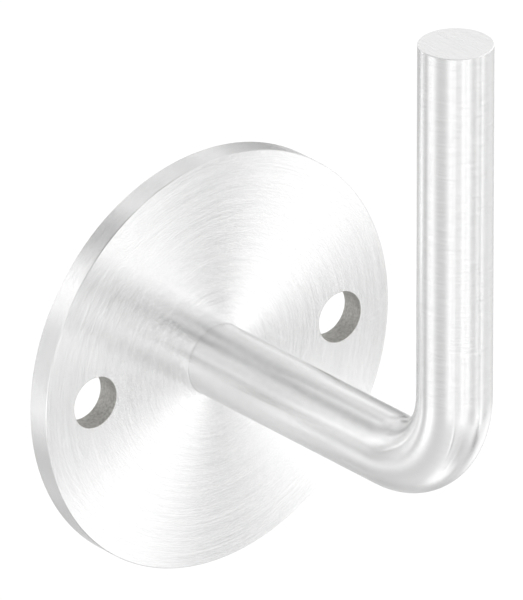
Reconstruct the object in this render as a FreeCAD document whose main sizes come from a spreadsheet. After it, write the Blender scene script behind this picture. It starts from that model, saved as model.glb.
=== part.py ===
import FreeCAD, Part
import math
import os
import Sketcher
from FreeCAD import Vector

# Handrail bracket of stainless steel: a round wall plate with two screw holes, and a round bar that
# leaves the middle of the plate, bends up through a right angle and ends in a plain cut end that
# carries the handrail. The bar goes through a bore in the plate and is welded in from behind, in a
# groove round the bore, so the front shows no weld and the back lies flat on the wall.
#
# Frame: the origin is the centre of the plate's back face. +Y points into the wall, +Z is up along
# the upright, and +X runs along the line of the two screw holes. All sizes are in millimetres.

# Driving sizes: name, value, what it measures.
SIZES = (
    ("plate_diameter", 70.0, "round wall plate, across"),
    ("plate_thickness", 4.0, "wall plate, front face to back face"),
    ("plate_edge_break", 0.08, "chamfer on both edges of the plate's rim"),
    ("screw_hole_diameter", 8.5, "clearance hole for an 8 mm wall screw"),
    ("screw_hole_spacing", 50.0, "from one screw hole's axis to the other's"),
    ("screw_hole_edge_break", 0.08, "chamfer on both mouths of a screw hole"),
    ("bar_diameter", 12.0, "round bar"),
    ("bar_reach", 58.0, "from the plate's front face to the upright's axis"),
    ("bar_rise", 75.0, "from the arm's axis to the upright's cut end"),
    ("bar_bend_radius", 15.0, "bend, to the bar's centre line"),
    ("bar_end_break", 0.15, "chamfer round the upright's cut end"),
    ("bar_end_setback", 0.8, "from the plate's back face in to the bar's welded end"),
    ("bore_clearance", 0.02, "gap all round between the bar and its bore"),
    ("weld_groove_depth", 2.0, "45 degree groove round the bore, in the back face"),
    ("weld_setback", 0.25, "from the plate's back face in to the weld's outer edge"),
    ("weld_lap", 1.2, "how far the weld laps inwards over the bar's end"),
    ("weld_crown_radius", 6.0, "round of the weld's open surface"),
)

SCREW_HOLE_COUNT = 2
FULL_TURN = 360.0
CLOSE = 1e-6

# How constraints number a sketch's own origin and the points of a line or an arc.
ORIGIN = -1
START, END, MIDDLE = range(1, 4)


# The sheet of sizes

def make_sheet(doc):
    """Fill the sheet: each row holds one driving size, whose value's cell has its name."""
    sheet = doc.addObject("Spreadsheet::Sheet", "Sizes")
    for row, (name, value, meaning) in enumerate(SIZES, start=1):
        sheet.set(f"A{row}", name)
        sheet.set(f"B{row}", str(value))
        sheet.set(f"C{row}", meaning)
        sheet.setAlias(f"B{row}", name)
    doc.recompute()
    return sheet


# Bodies and sketches

def origin_feature(body, role):
    """One of the body's own origin planes or axes, by its role."""
    return next(item for item in body.Origin.OriginFeatures if item.Role == role)


def new_body(doc, label):
    """An empty body, labelled with the name of its piece."""
    body = doc.addObject("PartDesign::Body", label)
    body.Label = label
    return body


def new_sketch(body, name, role):
    """An empty sketch on one of the body's own origin planes."""
    sketch = body.newObject("Sketcher::SketchObject", name)
    sketch.AttachmentSupport = [(origin_feature(body, role), "")]
    sketch.MapMode = "FlatFace"
    sketch.Visibility = False
    return sketch


def constrain(sketch, *constraints):
    """Add constraints that need no size, each given as its kind and what it joins."""
    for kind, *ends in constraints:
        sketch.addConstraint(Sketcher.Constraint(kind, *ends))


def dimension(sketch, name, expression, kind, *ends):
    """Add one dimension to a sketch, at its true value, and tie it to the sheet."""
    value = float(sketch.evalExpression(expression))
    index = sketch.addConstraint(Sketcher.Constraint(kind, *ends, value))
    sketch.renameConstraint(index, name)
    sketch.setExpression(f"Constraints.{name}", expression)


def sketch_circle(body, name, diameter, middle_x=None):
    """A sketch across Y with one circle, on the origin or at middle_x along +X."""
    sketch = new_sketch(body, name, "XZ_Plane")
    radius = float(sketch.evalExpression(diameter)) / 2
    middle = Vector(float(sketch.evalExpression(middle_x)) if middle_x else 0, 0, 0)
    circle = sketch.addGeometry(Part.Circle(middle, Vector(0, 0, 1), radius))
    if middle_x:
        constrain(sketch, ("PointOnObject", circle, MIDDLE, ORIGIN))
        dimension(sketch, "middle_x", middle_x, "DistanceX", ORIGIN, START, circle, MIDDLE)
    else:
        constrain(sketch, ("Coincident", circle, MIDDLE, ORIGIN, START))
    dimension(sketch, "diameter", diameter, "Diameter", circle)
    return sketch


# Cuts, each of which has to take something away

def confirm_cut(feature, before):
    """Work the feature out, and stop if it leaves the body's volume as it was."""
    feature.Document.recompute()
    if not feature.Shape.Volume < before:
        raise RuntimeError(f"{feature.Label} removes nothing")
    return feature


def cut_through(body, name, sketch):
    """Cut a sketch's outline right through what lies in front of it, towards -Y."""
    before = body.Tip.Shape.Volume
    pocket = body.newObject("PartDesign::Pocket", name)
    pocket.Profile = sketch
    pocket.Type = "ThroughAll"
    pocket.Reversed = True
    return confirm_cut(pocket, before)


def is_circle_at(edge, radius, middles):
    """Whether an edge is a circle of that radius round one of the given middles."""
    curve = edge.Curve
    if not isinstance(curve, Part.Circle) or abs(curve.Radius - radius) > CLOSE:
        return False
    return any(curve.Center.isEqual(middle, CLOSE) for middle in middles)


def chamfer_circles(body, name, radius, middles, size):
    """Chamfer at 45 degrees the circle edges of one radius round the given middles."""
    base = body.Tip
    edges = [f"Edge{number}" for number, edge in enumerate(base.Shape.Edges, start=1)
             if is_circle_at(edge, radius, middles)]
    if len(edges) != len(middles):
        raise RuntimeError(f"{name} finds {len(edges)} edges where {len(middles)} are meant")
    chamfer = body.newObject("PartDesign::Chamfer", name)
    chamfer.Base = (base, edges)
    chamfer.setExpression("Size", size)
    return confirm_cut(chamfer, base.Shape.Volume)


# The wall plate

def make_wall_plate(doc, sheet):
    """Round plate with a bore for the bar, a weld groove behind it and two screw holes."""
    body = new_body(doc, "wall_plate")
    disc = body.newObject("PartDesign::Pad", "plate_disc")
    disc.Profile = sketch_circle(body, "plate_outline", "Sizes.plate_diameter")
    disc.setExpression("Length", "Sizes.plate_thickness")
    doc.recompute()

    bore_outline = sketch_circle(body, "bore_outline",
                                 "Sizes.bar_diameter + 2 * Sizes.bore_clearance")
    cut_through(body, "bar_bore", bore_outline)
    hole_outline = sketch_circle(body, "screw_hole_outline", "Sizes.screw_hole_diameter",
                                 middle_x="Sizes.screw_hole_spacing / 2")
    screw_hole = cut_through(body, "screw_hole", hole_outline)

    screw_holes = body.newObject("PartDesign::PolarPattern", "screw_holes")
    screw_holes.Originals = [screw_hole]
    screw_holes.Axis = (origin_feature(body, "Y_Axis"), [""])
    screw_holes.Angle = FULL_TURN
    screw_holes.Occurrences = SCREW_HOLE_COUNT
    body.Tip = screw_holes
    confirm_cut(screw_holes, screw_hole.Shape.Volume)

    back = Vector(0, 0, 0)
    front = Vector(0, -sheet.plate_thickness, 0)
    next_hole = FreeCAD.Rotation(Vector(0, 1, 0), FULL_TURN / SCREW_HOLE_COUNT)
    mouths = []
    hole = Vector(sheet.screw_hole_spacing / 2, 0, 0)
    for _ in range(SCREW_HOLE_COUNT):
        mouths += [hole + back, hole + front]
        hole = next_hole.multVec(hole)

    chamfer_circles(body, "weld_groove", sheet.bar_diameter / 2 + sheet.bore_clearance,
                    [back], "Sizes.weld_groove_depth")
    chamfer_circles(body, "screw_hole_mouths", sheet.screw_hole_diameter / 2,
                    mouths, "Sizes.screw_hole_edge_break")
    chamfer_circles(body, "rim_edges", sheet.plate_diameter / 2,
                    [back, front], "Sizes.plate_edge_break")
    return body


# The bent bar

def sketch_bar_line(body, sheet):
    """The bar's centre line: the arm from its welded end out, the bend, and the upright."""
    sketch = new_sketch(body, "bar_line", "YZ_Plane")
    upright_y = -sheet.plate_thickness - sheet.bar_reach
    bend_radius = sheet.bar_bend_radius
    bend_middle = Vector(upright_y + bend_radius, bend_radius, 0)
    halfway = math.radians(45.0)
    arm_end = bend_middle + Vector(0, -bend_radius, 0)
    bend_top = bend_middle + Vector(-math.cos(halfway), -math.sin(halfway), 0) * bend_radius
    upright_foot = bend_middle + Vector(-bend_radius, 0, 0)
    upright_end = Vector(upright_y, sheet.bar_rise, 0)
    welded_end = Vector(-sheet.bar_end_setback, 0, 0)

    arm = sketch.addGeometry(Part.LineSegment(welded_end, arm_end))
    bend = sketch.addGeometry(Part.Arc(upright_foot, bend_top, arm_end))
    upright = sketch.addGeometry(Part.LineSegment(upright_foot, upright_end))
    constrain(sketch,
              ("PointOnObject", arm, START, ORIGIN),
              ("Horizontal", arm),
              ("Vertical", upright),
              ("Tangent", arm, END, bend, END),
              ("Tangent", bend, START, upright, START))
    dimension(sketch, "setback", "Sizes.bar_end_setback",
              "DistanceX", arm, START, ORIGIN, START)
    dimension(sketch, "reach", "Sizes.plate_thickness + Sizes.bar_reach",
              "DistanceX", upright, END, ORIGIN, START)
    dimension(sketch, "rise", "Sizes.bar_rise", "DistanceY", ORIGIN, START, upright, END)
    dimension(sketch, "bend_radius", "Sizes.bar_bend_radius", "Radius", bend)
    return sketch


def make_bent_bar(doc, sheet):
    """Round bar swept along its centre line, with the edge of its cut end broken."""
    body = new_body(doc, "bent_bar")
    section = sketch_circle(body, "bar_section", "Sizes.bar_diameter")
    section.setExpression("AttachmentOffset.Base.z", "Sizes.bar_end_setback")
    bar = body.newObject("PartDesign::AdditivePipe", "bar")
    bar.Profile = section
    bar.Spine = sketch_bar_line(body, sheet)
    doc.recompute()

    cut_end = Vector(0, -sheet.plate_thickness - sheet.bar_reach, sheet.bar_rise)
    chamfer_circles(body, "cut_end_edge", sheet.bar_diameter / 2, [cut_end],
                    "Sizes.bar_end_break")
    return body


# The weld

def sketch_weld(body, sheet):
    """Half the weld's section: its root, the groove's wall, its crown, its lap and the bar."""
    sketch = new_sketch(body, "weld_section", "YZ_Plane")
    bar_radius = sheet.bar_diameter / 2
    bore_radius = bar_radius + sheet.bore_clearance
    mouth_radius = bore_radius + sheet.weld_groove_depth
    root_inner = Vector(-sheet.weld_groove_depth, bar_radius, 0)
    root_outer = Vector(-sheet.weld_groove_depth, bore_radius, 0)
    outer_edge = Vector(-sheet.weld_setback, mouth_radius - sheet.weld_setback, 0)
    inner_edge = Vector(-sheet.bar_end_setback, bar_radius - sheet.weld_lap, 0)
    bar_corner = Vector(-sheet.bar_end_setback, bar_radius, 0)
    chord = outer_edge - inner_edge
    crown_height = sheet.weld_crown_radius - math.sqrt(
        sheet.weld_crown_radius ** 2 - (chord.Length / 2) ** 2)
    outwards = Vector(chord.y, -chord.x, 0).normalize()
    crown_top = (inner_edge + outer_edge) / 2 + outwards * crown_height

    root = sketch.addGeometry(Part.LineSegment(root_inner, root_outer))
    wall = sketch.addGeometry(Part.LineSegment(root_outer, outer_edge))
    crown = sketch.addGeometry(Part.Arc(inner_edge, crown_top, outer_edge))
    lap = sketch.addGeometry(Part.LineSegment(inner_edge, bar_corner))
    side = sketch.addGeometry(Part.LineSegment(bar_corner, root_inner))
    constrain(sketch,
              ("Coincident", root, END, wall, START),
              ("Coincident", wall, END, crown, END),
              ("Coincident", crown, START, lap, START),
              ("Coincident", lap, END, side, START),
              ("Coincident", side, END, root, START),
              ("Vertical", root),
              ("Vertical", lap),
              ("Horizontal", side))
    dimension(sketch, "root_depth", "Sizes.weld_groove_depth",
              "DistanceX", root, START, ORIGIN, START)
    dimension(sketch, "bar_radius", "Sizes.bar_diameter / 2",
              "DistanceY", ORIGIN, START, root, START)
    dimension(sketch, "bore_radius", "Sizes.bar_diameter / 2 + Sizes.bore_clearance",
              "DistanceY", ORIGIN, START, root, END)
    dimension(sketch, "outer_depth", "Sizes.weld_setback",
              "DistanceX", wall, END, ORIGIN, START)
    dimension(sketch, "outer_radius", "Sizes.bar_diameter / 2 + Sizes.bore_clearance"
              " + Sizes.weld_groove_depth - Sizes.weld_setback",
              "DistanceY", ORIGIN, START, wall, END)
    dimension(sketch, "lap_depth", "Sizes.bar_end_setback",
              "DistanceX", lap, START, ORIGIN, START)
    dimension(sketch, "lap_radius", "Sizes.bar_diameter / 2 - Sizes.weld_lap",
              "DistanceY", ORIGIN, START, lap, START)
    dimension(sketch, "crown_radius", "Sizes.weld_crown_radius", "Radius", crown)
    return sketch


def make_rear_weld(doc, sheet):
    """Ring of weld that fills the groove behind the plate and laps over the bar's end."""
    body = new_body(doc, "rear_weld")
    ring = body.newObject("PartDesign::Revolution", "weld_ring")
    ring.Profile = sketch_weld(body, sheet)
    ring.ReferenceAxis = (origin_feature(body, "Y_Axis"), [""])
    ring.Angle = FULL_TURN
    doc.recompute()
    return body


# The document, its checks and its files

def check(doc, bodies):
    """Stop if any object has failed, or any piece is not one valid solid."""
    for item in doc.Objects:
        if "Invalid" in item.State or "Error" in item.State:
            raise RuntimeError(f"{item.Label} has failed: {item.State}")
    for body in bodies:
        if body.Shape.isNull() or not body.Shape.isValid() or len(body.Shape.Solids) != 1:
            raise RuntimeError(f"{body.Label} is not one valid solid")


def main():
    """Make the document, check it and write one file for each piece."""
    doc = FreeCAD.newDocument("handrail_bracket")
    sheet = make_sheet(doc)
    bodies = [
        make_wall_plate(doc, sheet),
        make_bent_bar(doc, sheet),
        make_rear_weld(doc, sheet),
    ]
    check(doc, bodies)
    os.makedirs("parts", exist_ok=True)
    for body in bodies:
        body.Shape.exportStep(f"parts/{body.Label}.step")
        print(f"{body.Label}: {body.Shape.Volume:.1f} cubic mm")


main()
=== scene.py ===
"""Handrail bracket of brushed stainless steel: a round wall plate, a bent bar and the weld behind it."""
import logging
import math
from dataclasses import dataclass, field
from enum import Enum

import bmesh
import bpy
from mathutils import Matrix, Vector


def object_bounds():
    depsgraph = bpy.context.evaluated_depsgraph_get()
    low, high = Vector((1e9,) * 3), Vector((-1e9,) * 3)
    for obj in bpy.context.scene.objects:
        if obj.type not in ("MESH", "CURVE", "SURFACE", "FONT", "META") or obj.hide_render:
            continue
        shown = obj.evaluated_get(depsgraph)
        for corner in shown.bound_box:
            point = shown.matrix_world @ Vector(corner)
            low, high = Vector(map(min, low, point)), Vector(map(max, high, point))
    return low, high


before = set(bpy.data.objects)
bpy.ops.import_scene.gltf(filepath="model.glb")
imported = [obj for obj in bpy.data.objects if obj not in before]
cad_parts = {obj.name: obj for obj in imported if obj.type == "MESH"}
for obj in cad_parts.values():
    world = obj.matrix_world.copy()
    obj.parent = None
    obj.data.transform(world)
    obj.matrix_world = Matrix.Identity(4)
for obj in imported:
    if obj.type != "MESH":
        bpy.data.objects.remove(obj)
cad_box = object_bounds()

log = logging.getLogger("bracket")

MILLIMETRE = 0.001
WHITE = (1.0, 1.0, 1.0, 1.0)
X_AXIS = Vector((1.0, 0.0, 0.0))
Y_AXIS = Vector((0.0, 1.0, 0.0))
Z_AXIS = Vector((0.0, 0.0, 1.0))

# Where the noise is read: off the planes of its own grid, and far apart for two readings that shall differ.
OFF_GRID = 17.3
FAR_APART = 71.3
DRIFT = (0.37, 0.61)
LAYER_STEP = 2.37

# The grain changes fast along its strokes and drifts fully, the lines change as their finish says.
GRAIN_TURNS = 16.0
GRAIN_DRIFT = 1.0
LINE_DRIFT = 0.2
LINE_ROUGHNESS = 0.08

Number = float | int
Colour = tuple[float, float, float]
Levels = tuple[float, float]


class Grit(Enum):
    """The kinds of noise, each with its number of finer layers and its own spread about the middle."""

    SMOOTH = (0, 0.130)
    CRISP = (1, 0.099)

    @property
    def layers(self) -> int:
        """Return the number of finer layers."""
        return self.value[0]

    @property
    def spread(self) -> float:
        """Return the noise's spread about its middle."""
        return self.value[1]


class Wire:
    """An output socket that can stand in arithmetic, where each operator adds one node."""

    def __init__(self, graph: "Graph", socket: bpy.types.NodeSocket) -> None:
        """Keep the socket and the graph that its arithmetic goes into.

        Args:
            graph: The graph that holds the socket's node.
            socket: The output socket.
        """
        self.graph = graph
        self.socket = socket

    def output(self, name: str) -> "Wire":
        """Return another output of the same node.

        Args:
            name: The output's name.

        Returns:
            The wire from that output.
        """
        return Wire(self.graph, self.socket.node.outputs[name])

    def _join(self, operation: str, first: "Wire | Number | Vector",
              second: "Wire | Number | Vector") -> "Wire":
        """Add the node of one operator, a Vector Math node where either side is a vector.

        Args:
            operation: The operation that both kinds of node call by this name.
            first: The left side.
            second: The right side.

        Returns:
            The wire of the result.
        """
        sides = (first, second)
        vector = any(isinstance(side, Wire) and side.socket.type in {"VECTOR", "RGBA"} for side in sides)
        kind = "ShaderNodeVectorMath" if vector else "ShaderNodeMath"
        return self.graph.node(kind, {"operation": operation}, {0: first, 1: second})

    def __add__(self, other: "Wire | Number | Vector") -> "Wire":
        """Add."""
        return self._join("ADD", self, other)

    def __radd__(self, other: Number) -> "Wire":
        """Add, with the number on the left."""
        return self._join("ADD", other, self)

    def __sub__(self, other: "Wire | Number | Vector") -> "Wire":
        """Subtract."""
        return self._join("SUBTRACT", self, other)

    def __rsub__(self, other: Number) -> "Wire":
        """Subtract from a number."""
        return self._join("SUBTRACT", other, self)

    def __mul__(self, other: "Wire | Number | Vector") -> "Wire":
        """Multiply."""
        return self._join("MULTIPLY", self, other)

    def __rmul__(self, other: Number) -> "Wire":
        """Multiply, with the number on the left."""
        return self._join("MULTIPLY", other, self)

    def __truediv__(self, other: "Wire | Number | Vector") -> "Wire":
        """Divide."""
        return self._join("DIVIDE", self, other)

    def __neg__(self) -> "Wire":
        """Change the sign."""
        return self._join("MULTIPLY", self, -1.0)


class Graph:
    """The node tree of one finish or of the surround."""

    def __init__(self, tree: bpy.types.NodeTree) -> None:
        """Start with an empty tree.

        Args:
            tree: The tree to build in.
        """
        self.tree = tree
        tree.nodes.clear()

    def node(self, kind: str, settings: dict | None = None, inputs: dict | None = None,
             output: int | str = 0) -> Wire | None:
        """Add a node, set it up and connect it.

        Args:
            kind: The node's type name.
            settings: The node's own settings, which are set first.
            inputs: A value or a wire for each input socket that is given, by name or by number.
            output: The output to return, by name or by number.

        Returns:
            The wire from that output, or None for a node that has none.
        """
        made = self.tree.nodes.new(kind)
        for name, setting in (settings or {}).items():
            setattr(made, name, setting)
        for key, value in (inputs or {}).items():
            socket = made.inputs[key]
            if isinstance(value, Wire):
                self.tree.links.new(value.socket, socket)
            elif socket.type == "VECTOR" and isinstance(value, (float, int)):
                socket.default_value = (value,) * 3
            else:
                socket.default_value = value
        return Wire(self, made.outputs[output]) if len(made.outputs) else None

    def maths(self, operation: str, *values: Wire | Number) -> Wire:
        """Add a Math node for a function that has no operator.

        Args:
            operation: The node's operation.
            values: Its operands in order.

        Returns:
            The wire of the result.
        """
        return self.node("ShaderNodeMath", {"operation": operation}, dict(enumerate(values)))

    def vector_maths(self, operation: str, *values: Wire | Vector) -> Wire:
        """Add a Vector Math node for a function that has no operator.

        Args:
            operation: The node's operation.
            values: Its operands in order.

        Returns:
            The wire of the vector.
        """
        return self.node("ShaderNodeVectorMath", {"operation": operation}, dict(enumerate(values)))

    def scale(self, vector: Wire | Vector | Colour, amount: Wire | Number) -> Wire:
        """Stretch a vector, or a colour, by a number.

        Args:
            vector: The vector or the colour.
            amount: The number.

        Returns:
            The wire of the vector.
        """
        return self.node("ShaderNodeVectorMath", {"operation": "SCALE"}, {0: vector, "Scale": amount})

    def vector(self, x: Wire | Number, y: Wire | Number, z: Wire | Number) -> Wire:
        """Join three numbers into a vector.

        Args:
            x: The first number.
            y: The second number.
            z: The third number.

        Returns:
            The wire of the vector.
        """
        return self.node("ShaderNodeCombineXYZ", inputs={0: x, 1: y, 2: z})

    def split(self, vector: Wire) -> tuple[Wire, Wire, Wire]:
        """Take a vector apart.

        Args:
            vector: The vector.

        Returns:
            Its x, y and z.
        """
        x = self.node("ShaderNodeSeparateXYZ", inputs={0: vector})
        return x, x.output("Y"), x.output("Z")

    def step(self, value: Wire, low: Number, high: Number) -> Wire:
        """Turn a value into a mask that rises smoothly from 0 at one level to 1 at another.

        Args:
            value: The value.
            low: The level where the mask is 0.
            high: The level where the mask is 1, which may be the lower of the two.

        Returns:
            The wire of the mask.
        """
        return self.node("ShaderNodeMapRange", {"interpolation_type": "SMOOTHSTEP"},
                         {"Value": value, "From Min": low, "From Max": high})

    def blend(self, mask: Wire, off: Wire | Number, on: Wire | Number) -> Wire:
        """Pass from one number to another with a mask.

        Args:
            mask: The mask.
            off: The number where the mask is 0.
            on: The number where the mask is 1.

        Returns:
            The wire of the number.
        """
        return self.node("ShaderNodeMix", {"data_type": "FLOAT"}, {0: mask, 2: off, 3: on})

    def blend_colour(self, mask: Wire, off: Wire | Colour, on: Wire | Colour) -> Wire:
        """Pass from one colour to another with a mask.

        Args:
            mask: The mask.
            off: The colour where the mask is 0.
            on: The colour where the mask is 1.

        Returns:
            The wire of the colour.
        """
        sides = [side if isinstance(side, Wire) else (*side, 1.0) for side in (off, on)]
        return self.node("ShaderNodeMix", {"data_type": "RGBA"}, {0: mask, 6: sides[0], 7: sides[1]}, 2)

    def blend_vector(self, mask: Wire, off: Wire | Vector, on: Wire | Vector) -> Wire:
        """Pass from one vector to another with a mask.

        Args:
            mask: The mask.
            off: The vector where the mask is 0.
            on: The vector where the mask is 1.

        Returns:
            The wire of the vector.
        """
        return self.node("ShaderNodeMix", {"data_type": "VECTOR"}, {0: mask, 4: off, 5: on}, 1)

    def noise(self, place: Wire, grit: Grit = Grit.SMOOTH) -> Wire:
        """Read noise about zero, with a spread of 1.

        Args:
            place: Where it is read, with one cell of the noise to a unit.
            grit: The kind of noise.

        Returns:
            The wire of the noise.
        """
        noise = self.node("ShaderNodeTexNoise", {"noise_dimensions": "3D"}, {
            "Vector": place, "Scale": 1.0, "Detail": grit.layers, "Roughness": 0.5,
            "Lacunarity": LAYER_STEP})
        return (noise - 0.5) / grit.spread


@dataclass(frozen=True)
class Brushing:
    """How steep and how close the scratches of one brushed face are.

    The grain is finer than the eye can part, and the lines are the scratches that can be made out. Waver is
    how far a line leans along its own way, tone how much lighter or darker it is, and line_turns how short it
    is. Mottle is how much lighter or darker the small specks between the lines are.
    """

    grain: float
    line: float
    waver: float
    tone: float
    grain_pitch: float = 0.0025 * MILLIMETRE
    line_pitch: float = 0.18 * MILLIMETRE
    line_turns: float = 4.0
    grit: Grit = Grit.SMOOTH
    mottle: float = 0.0
    mottle_pitch: float = 0.25 * MILLIMETRE


@dataclass(frozen=True)
class Steel:
    """One steel finish: its colour, which for the holes is darkened as painted shade, its roughness along the
    brushing, and the brushing.
    """

    colour: Colour
    roughness: float
    brushing: Brushing


@dataclass
class Surface:
    """What a shader knows of the place that it colours."""

    place: Wire
    normal: Wire
    x: Wire
    y: Wire
    z: Wire
    normal_y: Wire
    normal_z: Wire


@dataclass
class Patch:
    """The brushed look of one part of a surface, before the parts are put together."""

    colour: Wire
    roughness: Wire
    tilt: Wire


class SteelShader:
    """Builds the material of one piece out of patches of brushed steel."""

    def __init__(self, name: str) -> None:
        """Make the material and read the place and the normal.

        Args:
            name: The material's name.
        """
        self.material = bpy.data.materials.new(name)
        self.material.use_nodes = True
        graph = Graph(self.material.node_tree)
        place = graph.node("ShaderNodeTexCoord", output="Object")
        normal = graph.node("ShaderNodeNewGeometry", output="Normal")
        self.graph = graph
        self.at = Surface(place, normal, *graph.split(place), *graph.split(normal)[1:])

    def ring(self) -> tuple[Wire, Wire, Wire]:
        """Measure the place from the axis of the plate and of the arm.

        Returns:
            The distance from that axis, and the direction away from it along x and along z.
        """
        at = self.at
        distance = self.graph.maths("SQRT", at.x * at.x + at.z * at.z)
        return distance, at.x / distance, at.z / distance

    def brushed(self, steel: Steel, across: Wire | Vector, across_place: Wire, around: tuple[Wire, Wire],
                strength: Wire | Number = 1.0) -> Patch:
        """Build one brushed patch, whose scratches tilt the normal across their own direction.

        Args:
            steel: The finish.
            across: The direction across the scratches.
            across_place: How far across the scratches a point is, in metres.
            around: Two numbers that change slowly along the scratches.
            strength: How much of the scratches' depth is left.

        Returns:
            The patch.
        """
        graph = self.graph
        brushing = steel.brushing
        step = across_place / brushing.line_pitch
        fine = self.scratches(across_place / brushing.grain_pitch, around, GRAIN_TURNS, GRAIN_DRIFT)
        line = self.scratches(step, around, brushing.line_turns, LINE_DRIFT, brushing.grit)
        lean = self.scratches(step + FAR_APART, around, brushing.line_turns, LINE_DRIFT, brushing.grit)
        along = graph.vector_maths("CROSS_PRODUCT", self.at.normal, across)
        tilt = graph.scale(across, fine * brushing.grain + line * brushing.line)
        tilt = graph.scale(tilt + graph.scale(along, lean * brushing.waver), strength)
        tone = line * (strength * brushing.tone)
        if brushing.mottle:
            specks = graph.noise(graph.scale(self.at.place, 1.0 / brushing.mottle_pitch))
            tone = tone + specks * brushing.mottle
        colour = graph.scale(steel.colour, 1.0 + tone)
        return Patch(colour, steel.roughness * (1.0 + line * LINE_ROUGHNESS), tilt)

    def scratches(self, step: Wire, around: tuple[Wire, Wire], turns: Number, drift: Number,
                  grit: Grit = Grit.SMOOTH) -> Wire:
        """Read noise that changes fast across the scratches and slowly along them.

        Args:
            step: How many scratches across a point is.
            around: Two numbers that change slowly along the scratches.
            turns: How often the noise changes over a unit of those numbers.
            drift: How far those numbers move from scratch to scratch. Noise is weaker on the planes of its
                own grid, and a drift keeps those planes out of sight.
            grit: The kind of noise.

        Returns:
            The wire of the noise.
        """
        first, second = (number * turns + OFF_GRID + step * (share * drift)
                         for number, share in zip(around, DRIFT))
        return self.graph.noise(self.graph.vector(step, first, second), grit)

    def merge(self, mask: Wire, off: Patch, on: Patch) -> Patch:
        """Pass from one patch to another with a mask.

        Args:
            mask: The mask.
            off: The patch where the mask is 0.
            on: The patch where the mask is 1.

        Returns:
            The joined patch.
        """
        graph = self.graph
        return Patch(graph.blend_colour(mask, off.colour, on.colour),
                     graph.blend(mask, off.roughness, on.roughness),
                     graph.blend_vector(mask, off.tilt, on.tilt))

    def finish(self, patch: Patch) -> bpy.types.Material:
        """Close the material with the joined patch.

        Args:
            patch: The look of the whole piece.

        Returns:
            The material.
        """
        graph = self.graph
        normal = graph.vector_maths("NORMALIZE", self.at.normal + patch.tilt)
        shader = graph.node("ShaderNodeBsdfPrincipled", inputs={
            "Base Color": patch.colour, "Metallic": 1.0, "Roughness": patch.roughness, "Normal": normal})
        graph.node("ShaderNodeOutputMaterial", inputs={"Surface": shader})
        return self.material


@dataclass
class WallPlate:
    """The round plate that is screwed to the wall.

    A way is how fast a brushing changes along its strokes, and a mask is where it is 0 and where it is 1.
    The mask of the hole walls, whose darkened colour is painted shade, counts in hole radii, and the others
    go by the normal's share toward the wall.
    """

    node: str = "wall_plate"
    hole_radius: float = 4.25 * MILLIMETRE
    hole_offset: float = 25.0 * MILLIMETRE
    face: Steel = Steel((0.84, 0.84, 0.84), 0.173,
                        Brushing(0.27, 0.002, 0.0004, 0.017, line_turns=2.0, mottle=0.018))
    rim: Steel = Steel((0.80, 0.80, 0.80), 0.20, Brushing(0.10, 0.006, 0.0, 0.004))
    back: Steel = Steel((0.62, 0.62, 0.61), 0.36,
                        Brushing(0.06, 0.04, 0.01, 0.02, line_turns=2.0, grit=Grit.CRISP))
    # The hole walls are rough drilled steel with a warm tint and specks, and their colour is darkened far
    # below the face's as painted shade inside the holes.
    shaded_hole: Steel = Steel((0.46, 0.453, 0.433), 0.60,
                        Brushing(0.10, 0.03, 0.03, 0.04, line_turns=2.0, mottle=0.07,
                                 mottle_pitch=0.4 * MILLIMETRE))
    rim_way: float = 2.0
    straight_way: float = 40.0
    rim_mask: Levels = (0.8, 0.6)
    back_mask: Levels = (0.5, 0.7)
    shaded_hole_mask: Levels = (1.03, 1.01)
    edge_level: float = 0.7
    edge_mask: Levels = (0.25, 0.15)
    edge_tilt: float = -0.8

    def dress(self) -> None:
        """Give the plate its concentric brushing, and its rim, holes and back their own finish, with the
        holes' colour darkened as painted shade.
        """
        shader = SteelShader("plate_brushed_steel")
        graph, at = shader.graph, shader.at
        distance, out_x, out_z = shader.ring()
        face = shader.brushed(self.face, graph.vector(out_x, 0.0, out_z), distance, (out_x, out_z))
        rim = shader.brushed(self.rim, Y_AXIS, at.y, (out_x * self.rim_way, out_z * self.rim_way))
        straight = shader.brushed(self.back, X_AXIS, at.x,
                                  (at.z * self.straight_way, at.y * self.straight_way))
        side = graph.maths("ABSOLUTE", at.x) - self.hole_offset
        hole_distance = graph.maths("SQRT", side * side + at.z * at.z)
        round_hole = graph.vector(-at.z * graph.maths("SIGN", at.x), 0.0, side)
        turn = graph.maths("ARCTAN2", at.z, side) * self.hole_radius
        # The hole walls' patch, whose dark colour is painted shade inside the holes.
        shaded_hole = shader.brushed(self.shaded_hole, graph.vector_maths("NORMALIZE", round_hole), turn,
                              (at.y / self.hole_radius, at.x * self.straight_way))
        flat = graph.maths("ABSOLUTE", at.normal_y)
        patch = shader.merge(graph.step(flat, *self.rim_mask), face, rim)
        # The broken edges between face and rim are worn toward the rim.
        worn = graph.step(graph.maths("ABSOLUTE", flat - self.edge_level), *self.edge_mask)
        patch.tilt = patch.tilt + graph.vector(0.0, at.normal_y * worn * self.edge_tilt, 0.0)
        patch = shader.merge(graph.step(at.normal_y, *self.back_mask), patch, straight)
        outer, inner = (self.hole_radius * level for level in self.shaded_hole_mask)
        patch = shader.merge(graph.step(hole_distance, outer, inner), patch, shaded_hole)
        dress_node(self.node, shader.finish(patch))


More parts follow.
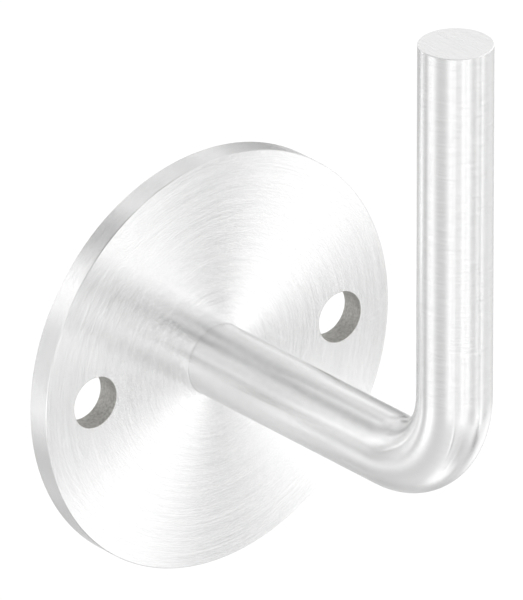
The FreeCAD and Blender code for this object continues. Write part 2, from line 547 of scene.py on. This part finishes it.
@dataclass
class BentBar:
    """The round bar that leaves the plate, bends upward and carries the rail.

    The bend's start and end are where the brushing fades and comes back, measured along the bar from the
    end of the arm. The top's depth is measured down from the cut end.
    """

    node: str = "bent_bar"
    radius: float = 6.0 * MILLIMETRE
    reach: float = 62.0 * MILLIMETRE
    rise: float = 75.0 * MILLIMETRE
    bend_radius: float = 15.0 * MILLIMETRE
    side: Steel = Steel((0.80, 0.80, 0.80), 0.12, Brushing(0.20, 0.010, 0.0015, 0.018, line_turns=2.3))
    end: Steel = Steel((0.88, 0.88, 0.88), 0.24, Brushing(0.10, 0.02, 0.01, 0.022, line_turns=2.0))
    end_way: float = 60.0
    bend_start: Levels = (-3.0 * MILLIMETRE, 2.0 * MILLIMETRE)
    bend_end: Levels = (21.0 * MILLIMETRE, 25.0 * MILLIMETRE)
    arm_strength: float = 0.45
    bend_loss: float = 0.10
    upright_gain: float = 0.65
    top_depth: Levels = (0.25 * MILLIMETRE, 0.12 * MILLIMETRE)
    top_mask: Levels = (0.2, 0.4)
    edge_mask: Levels = (0.95, 0.85)
    edge_roughness: float = 0.55

    def dress(self) -> None:
        """Brush the bar around its girth, less so in the bend, and its top end in straight strokes."""
        shader = SteelShader("bar_brushed_steel")
        graph, at = shader.graph, shader.at
        centre_y = -(self.reach - self.bend_radius)
        inward = graph.maths("MINIMUM", at.y - centre_y, 0.0)
        below = graph.maths("MINIMUM", at.z - self.bend_radius, 0.0)
        girth = graph.maths("SQRT", inward * inward + below * below)
        out_y, out_z = inward / girth, below / girth
        angle = graph.maths("ARCTAN2", -inward, -below)
        along = graph.maths("MAXIMUM", at.z - self.bend_radius, 0.0) + angle * self.bend_radius
        along = along - graph.maths("MAXIMUM", at.y - centre_y, 0.0)
        around = (at.x / self.radius, (girth - self.bend_radius) / self.radius)
        formed = graph.step(along, *self.bend_start)
        drawn = graph.step(along, *self.bend_end)
        strength = self.arm_strength - self.bend_loss * formed + drawn * self.upright_gain
        side = shader.brushed(self.side, graph.vector(0.0, -out_z, out_y), along, around, strength)
        end = shader.brushed(self.end, X_AXIS, at.x, (at.y * self.end_way, at.y * 0.0))
        # The broken edge round the end is worn toward it and duller.
        worn = graph.step(at.normal_z, *self.edge_mask)
        end.tilt = end.tilt + graph.scale(Z_AXIS, worn)
        end.roughness = graph.blend(worn, end.roughness, self.edge_roughness)
        low, high = (self.rise - depth for depth in self.top_depth)
        top = graph.step(at.z, low, high)
        patch = shader.merge(graph.step(at.normal_z * top, *self.top_mask), side, end)
        dress_node(self.node, shader.finish(patch))


@dataclass
class RearWeld:
    """The weld that closes the joint behind the plate.

    The waver is how far the brushing pushes a ripple to and fro, and the depth is how far one tilts.
    """

    node: str = "rear_weld"
    bead: Steel = Steel((0.60, 0.57, 0.52), 0.34,
                        Brushing(0.08, 0.06, 0.0, 0.05, line_turns=2.5, grit=Grit.CRISP))
    bead_way: float = 2.0
    ripples: int = 44
    ripple_waver: float = 20.0
    ripple_depth: float = 0.25

    def dress(self) -> None:
        """Ripple the bead round its ring and tint it with a trace of straw."""
        shader = SteelShader("weld_bead")
        graph, at = shader.graph, shader.at
        turn = graph.maths("ARCTAN2", at.z, at.x)
        distance, out_x, out_z = shader.ring()
        bead = shader.brushed(self.bead, graph.vector(out_x, 0.0, out_z), distance,
                              (out_x * self.bead_way, out_z * self.bead_way))
        wave = graph.maths("SINE", turn * self.ripples + bead.roughness * self.ripple_waver)
        ripple = wave * self.ripple_depth
        bead.tilt = bead.tilt + graph.scale(graph.vector(-out_z, 0.0, out_x), ripple)
        dress_node(self.node, shader.finish(bead))


def dress_node(name: str, material: bpy.types.Material) -> None:
    """Put a material on a CAD node.

    Args:
        name: The node's name.
        material: The material.
    """
    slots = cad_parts[name].material_slots
    for slot in slots:
        slot.link = "OBJECT"
        slot.material = material
    log.info("dressed %s with %s on %d slots", name, material.name, len(slots))


@dataclass(frozen=True)
class SoftLight:
    """A soft box in the surround, or a dark flag where its strength is below zero.

    The azimuth is measured from the front of the plate toward its right, in degrees.
    """

    azimuth: float
    elevation: float
    width: float
    height: float
    strength: float

    @property
    def centre(self) -> Vector:
        """Return the azimuth and the elevation in radians."""
        return Vector((math.radians(self.azimuth), math.radians(self.elevation), 0.0))

    @property
    def closeness(self) -> Vector:
        """Return one over the width and one over the height, in radians."""
        return Vector((1.0 / math.radians(self.width), 1.0 / math.radians(self.height), 0.0))


@dataclass
class Studio:
    """The white surround with its soft boxes and flags, and the pale floor.

    Level and slope are the logarithm of the surround's brightness at the horizon and its change with height.
    The glow is how bright the floor is for the camera, and the white how much of it hides the paper.
    """

    level: float = -0.209
    slope: float = -0.499
    lights: tuple[SoftLight, ...] = (
        SoftLight(25.0, -21.9, 46.2, 14.6, 1.45),
        SoftLight(-116.9, -9.3, 15.6, 20.8, 1.59),
        SoftLight(23.3, -25.7, 10.3, 6.9, -1.59),
        SoftLight(-52.5, -5.3, 14.6, 18.9, 0.90),
        SoftLight(17.4, 27.8, 70.2, 42.5, -0.30),
        SoftLight(130.5, 19.2, 8.4, 14.3, -1.32),
        SoftLight(69.0, 21.7, 31.4, 14.3, 1.16),
        SoftLight(-158.9, -28.8, 12.3, 24.7, 1.74),
        SoftLight(-101.7, 17.3, 59.7, 8.2, 1.21),
        SoftLight(60.0, -25.1, 16.9, 6.0, -1.50),
        SoftLight(120.7, -40.1, 21.0, 10.5, 0.51),
        SoftLight(167.1, -84.3, 80.0, 7.2, 0.63),
        SoftLight(-170.2, 54.4, 16.2, 11.9, 1.80),
        SoftLight(-125.2, -9.5, 12.6, 13.2, -2.16),
        SoftLight(-6.3, 7.7, 17.0, 13.4, 1.69),
        SoftLight(165.7, -40.8, 63.0, 62.6, -0.61),
        SoftLight(146.5, -4.6, 10.6, 16.5, -1.51),
        SoftLight(142.2, -18.7, 7.4, 8.5, 0.78),
        SoftLight(11.0, -21.9, 12.6, 8.4, -1.96),
        SoftLight(-36.2, 69.4, 64.5, 10.0, 1.76),
        SoftLight(-91.8, -53.4, 64.5, 39.1, -0.34),
        SoftLight(-171.6, 13.2, 19.7, 26.0, 1.52),
        SoftLight(-131.5, 63.3, 55.5, 5.9, -1.68),
        SoftLight(48.1, -33.1, 6.1, 5.3, -1.34),
        SoftLight(-12.0, -0.9, 8.0, 14.3, -1.34),
        SoftLight(-17.0, -0.9, 8.1, 18.1, 0.75),
        SoftLight(-125.9, -4.2, 8.8, 22.0, 1.80),
        SoftLight(-121.0, 17.5, 12.1, 21.1, -1.74),
        SoftLight(147.9, 12.9, 7.1, 22.4, -1.15),
        SoftLight(-84.8, 14.3, 21.7, 8.2, -0.96),
        SoftLight(-164.0, -35.0, 14.5, 17.3, -1.77),
        SoftLight(-49.7, 9.6, 2.5, 4.4, -1.44),
        SoftLight(137.3, 14.8, 30.2, 40.2, 1.41),
        SoftLight(-171.5, 24.2, 11.7, 29.4, -1.07),
        SoftLight(129.2, -43.4, 13.1, 13.0, -0.67),
        SoftLight(88.7, -70.4, 75.1, 5.4, -0.35),
        SoftLight(-0.4, -92.0, 5.1, 20.3, 1.66),
        SoftLight(-63.4, 78.7, 17.6, 12.7, -2.02),
        SoftLight(35.6, -7.6, 7.1, 16.6, -0.30),
        SoftLight(48.9, 49.5, 25.3, 23.8, 1.30),
        SoftLight(97.4, 93.9, 13.4, 74.0, 1.44),
        SoftLight(-50.2, 58.6, 6.7, 6.9, -2.20),
        SoftLight(66.6, -59.1, 40.5, 8.7, -0.43),
        SoftLight(58.9, -46.4, 13.0, 5.0, -1.32),
        SoftLight(5.0, -75.6, 30.5, 35.7, -0.54),
        SoftLight(36.9, -5.7, 7.3, 15.9, -0.30),
        SoftLight(35.9, -7.8, 6.8, 17.0, -0.30),
        SoftLight(50.1, -31.8, 5.3, 5.0, 1.45),
        SoftLight(-22.0, 27.9, 11.5, 11.6, 1.11),
        SoftLight(104.6, -17.1, 38.2, 5.5, -0.84),
        SoftLight(-136.1, 52.7, 40.7, 5.3, -1.26),
        SoftLight(-40.1, -49.6, 2.5, 4.5, 1.33),
        SoftLight(-121.8, 31.4, 25.5, 10.3, 0.98),
        SoftLight(-176.7, -40.2, 11.4, 7.2, 0.96),
        SoftLight(-41.1, 41.1, 2.7, 6.0, -1.65),
        SoftLight(-146.7, 5.2, 2.5, 9.4, -2.03),
        SoftLight(131.7, -0.8, 9.4, 7.6, -0.90),
        SoftLight(-23.8, -4.5, 5.7, 5.8, -1.59),
        SoftLight(-36.9, -52.8, 2.6, 4.4, -2.20),
        SoftLight(-143.6, 83.1, 78.5, 5.6, 1.80),
        SoftLight(128.3, -4.3, 3.0, 12.9, -2.17),
        SoftLight(-102.5, 73.9, 20.1, 12.4, 1.15),
    )
    floor_drop: float = 0.06
    floor_radius: float = 3.0
    floor_sides: int = 96
    floor_colour: Colour = (0.9, 0.9, 0.9)
    floor_white: float = 0.9
    floor_glow: float = 1.06

    def light(self) -> None:
        """Build the surround: plain white to the camera, and the soft boxes and flags to the metal."""
        world = bpy.data.worlds.new("studio")
        world.use_nodes = True
        bpy.context.scene.world = world
        graph = Graph(world.node_tree)
        x, y, z = graph.split(graph.node("ShaderNodeTexCoord", output="Generated"))
        direction = graph.vector(graph.maths("ARCTAN2", x, -y), graph.maths("ARCSINE", z), 0.0)
        half_turn = Vector((math.pi, math.pi, math.pi))
        glow = self.level + z * self.slope
        for lamp in self.lights:
            away = graph.vector_maths("WRAP", direction - lamp.centre, half_turn, -half_turn)
            away = away * lamp.closeness
            square = graph.vector_maths("DOT_PRODUCT", away, away).output("Value")
            # A bell curve, which is one over e to the power of the squared distance.
            shape = graph.maths("POWER", math.exp(-1.0), square)
            glow = graph.maths("MULTIPLY_ADD", shape, lamp.strength, glow)
        glow = graph.maths("EXPONENT", glow)
        path = graph.node("ShaderNodeLightPath", output="Is Camera Ray")
        plain = graph.maths("MAXIMUM", path, path.output("Is Transmission Ray"))
        shown = graph.blend(plain, glow, 1.0)
        background = graph.node("ShaderNodeBackground", inputs={"Color": WHITE, "Strength": shown})
        graph.node("ShaderNodeOutputWorld", inputs={"Surface": background})

    def lay_floor(self, lowest: float) -> None:
        """Lay the pale floor below the bracket.

        Args:
            lowest: The height of the bracket's lowest point.
        """
        mesh = bpy.data.meshes.new("floor")
        shape = bmesh.new()
        bmesh.ops.create_circle(shape, cap_ends=True, segments=self.floor_sides,
                                radius=self.floor_radius)
        shape.to_mesh(mesh)
        shape.free()
        floor = bpy.data.objects.new("floor", mesh)
        floor.location = (0, 0, lowest - self.floor_drop)
        floor.visible_glossy = False
        bpy.context.scene.collection.objects.link(floor)
        material = bpy.data.materials.new("floor_paper")
        material.use_nodes = True
        graph = Graph(material.node_tree)
        paper = graph.node("ShaderNodeBsdfDiffuse", inputs={"Color": (*self.floor_colour, 1.0)})
        glow = graph.node("ShaderNodeEmission", inputs={"Color": WHITE, "Strength": self.floor_glow})
        seen = graph.node("ShaderNodeLightPath", output="Is Camera Ray") * self.floor_white
        mixed = graph.node("ShaderNodeMixShader", inputs={0: seen, 1: paper, 2: glow})
        graph.node("ShaderNodeOutputMaterial", inputs={"Surface": mixed})
        mesh.materials.append(material)


@dataclass
class PhotoCamera:
    """A long lens at the photograph's viewing angle, aimed from the centre of the plate's front face."""

    azimuth: float = -39.552
    elevation: float = 24.987
    distance: float = 3.6842
    lens: float = 1400.0
    aim_right: float = 6.850 * MILLIMETRE
    aim_up: float = 9.408 * MILLIMETRE
    near: float = 0.5
    far: float = 20.0
    plate_front: Vector = field(default_factory=lambda: Vector((0.0, -4.0 * MILLIMETRE, 0.0)))

    def place(self) -> None:
        """Set up the camera."""
        azimuth, elevation = math.radians(self.azimuth), math.radians(self.elevation)
        back = Vector((math.sin(azimuth) * math.cos(elevation),
                       -math.cos(azimuth) * math.cos(elevation), math.sin(elevation)))
        right = Vector((math.cos(azimuth), math.sin(azimuth), 0.0))
        up = back.cross(right)
        data = bpy.data.cameras.new("camera")
        data.lens = self.lens
        data.clip_start, data.clip_end = self.near, self.far
        camera = bpy.data.objects.new("camera", data)
        camera.matrix_world = Matrix.Translation(
            self.plate_front + back * self.distance + right * self.aim_right + up * self.aim_up
        ) @ Matrix((right, up, back)).transposed().to_4x4()
        bpy.context.scene.collection.objects.link(camera)
        bpy.context.scene.camera = camera


def main() -> None:
    """Dress the bracket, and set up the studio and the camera."""
    logging.basicConfig(level=logging.INFO, format="%(name)s: %(message)s")
    bpy.context.scene.view_settings.view_transform = "Standard"
    PhotoCamera().place()
    for piece in (WallPlate(), BentBar(), RearWeld()):
        piece.dress()
    studio = Studio()
    studio.light()
    studio.lay_floor(cad_box[0].z)


if __name__ == "__main__":
    main()
